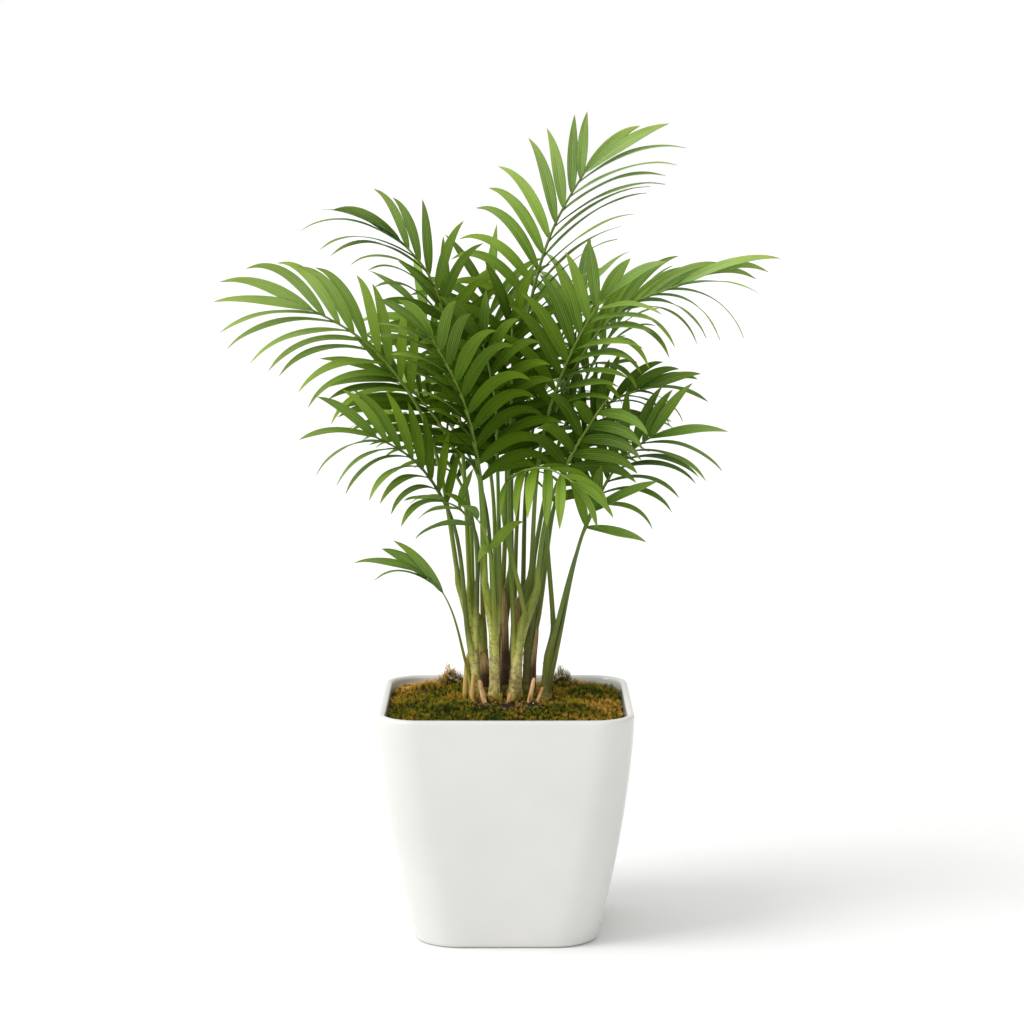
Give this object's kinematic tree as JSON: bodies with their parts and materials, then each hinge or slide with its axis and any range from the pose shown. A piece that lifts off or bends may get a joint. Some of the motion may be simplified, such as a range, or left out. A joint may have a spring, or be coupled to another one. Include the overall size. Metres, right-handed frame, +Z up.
{
  "type": "potted palm",
  "caption": "Young parlour palm with arching feather-shaped fronds on a clump of canes, growing out of a mossed, glossy rounded-square pot that tapers to its foot.",
  "frame": {"origin": "middle of the pot's flat base, on the surface the pot stands on", "axes": "+Z up along the pot and the plant, -Y towards the front, +X to the right seen from the front"},
  "size_m": [0.3854, 0.2723, 0.5845],
  "materials": {
    "pot_glaze": "smooth glossy white glaze",
    "soil": "dark crumbly potting compost, mostly bark and peat",
    "moss": "matte tufted moss, green mixed with ochre",
    "cane": "smooth olive green stem with yellowish ringed foot",
    "leaf": "satin living leaf with fine lengthwise veins",
    "dry_husk": "dry fibrous husk, tan to brown"
  },
  "bodies": {
    "root": {"pot": "pot_glaze", "soil": "soil", "moss": "moss", "cane_1": "cane", "cane_2": "cane", "cane_3": "cane", "cane_4": "cane", "cane_5": "cane", "cane_6": "cane", "cane_7": "cane", "cane_8": "cane", "stub_1": "dry_husk", "stub_2": "dry_husk", "stub_3": "dry_husk", "stub_4": "dry_husk", "sheath_1": "dry_husk", "sheath_2": "dry_husk", "sheath_3": "dry_husk", "sheath_4": "dry_husk", "sheath_5": "dry_husk", "frond_01": "leaf", "frond_02": "leaf", "frond_03": "leaf", "frond_04": "leaf", "frond_05": "leaf", "frond_06": "leaf", "frond_07": "leaf", "frond_08": "leaf", "frond_09": "leaf", "frond_10": "leaf", "frond_11": "leaf", "frond_12": "leaf", "frond_13": "leaf", "frond_14": "leaf", "frond_15": "leaf", "frond_16": "leaf", "frond_17": "leaf", "frond_18": "leaf", "frond_19": "leaf", "frond_20": "leaf", "frond_21": "leaf", "frond_22": "leaf", "frond_23": "leaf", "frond_24": "leaf", "frond_25": "leaf", "frond_26": "leaf", "juvenile_leaf": "leaf"}
  },
  "joints": []
}
